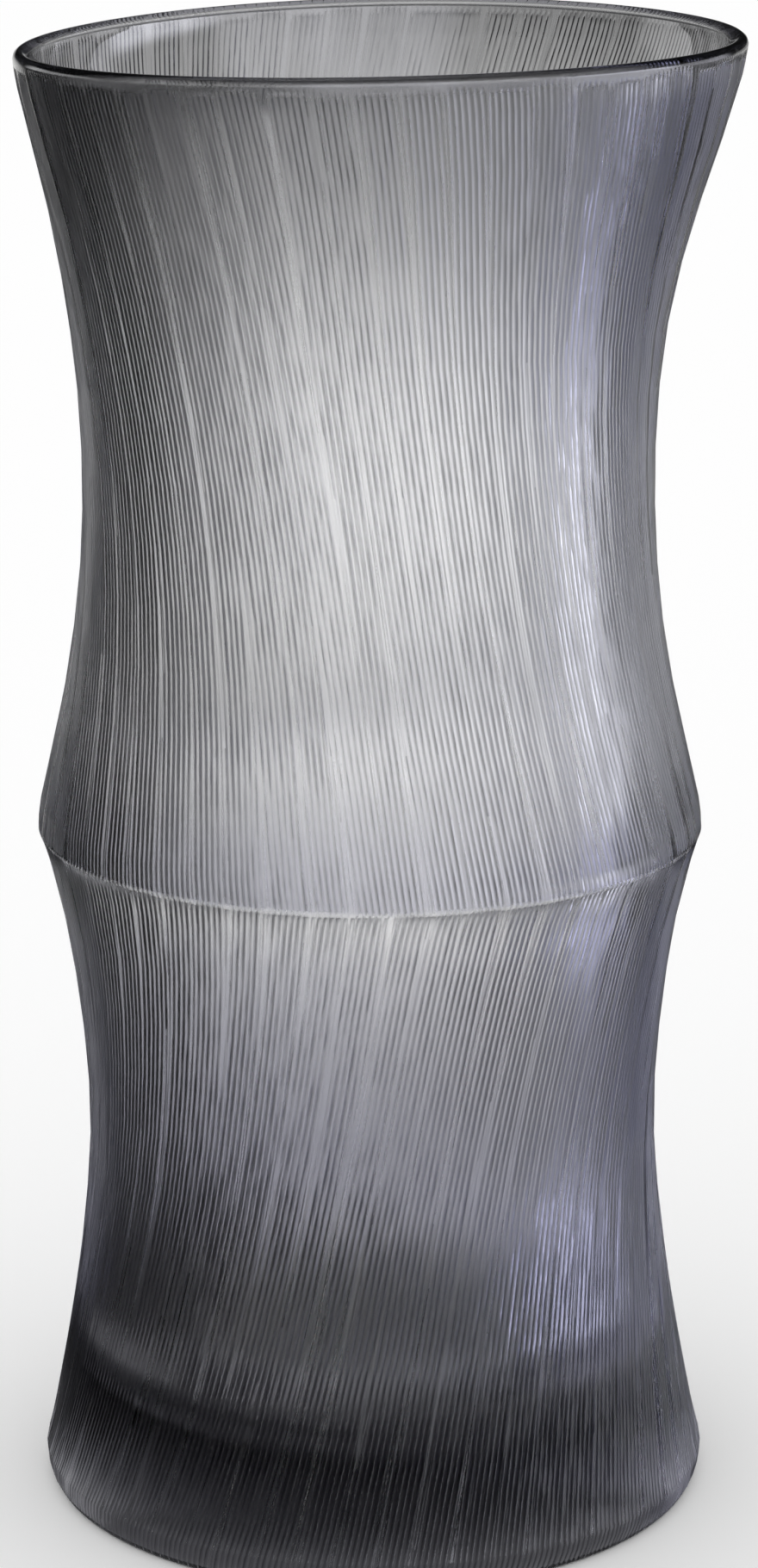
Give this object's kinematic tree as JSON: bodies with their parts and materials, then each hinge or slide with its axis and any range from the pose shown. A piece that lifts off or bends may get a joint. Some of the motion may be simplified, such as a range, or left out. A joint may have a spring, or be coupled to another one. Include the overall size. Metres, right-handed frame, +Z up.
{
  "type": "glass vase",
  "caption": "Tall round vase of smoke-grey blown glass with two waisted bells, a sharp ridge between them and a thick flat base. It holds water and cut flowers.",
  "frame": {"origin": "centre of the flat underside, on the surface the vase stands on", "axes": "+Z up, out of the mouth; the picture looks along +Y from slightly above, with +X to its right"},
  "size_m": [0.1776, 0.1776, 0.3712],
  "materials": {
    "smoke_glass": "Smoke-grey glass, satin outside from fine upright wheel-cut grooves, polished inside, on the lip and on the edge under the foot"
  },
  "bodies": {
    "root": {"glass_body": "smoke_glass"}
  },
  "joints": []
}
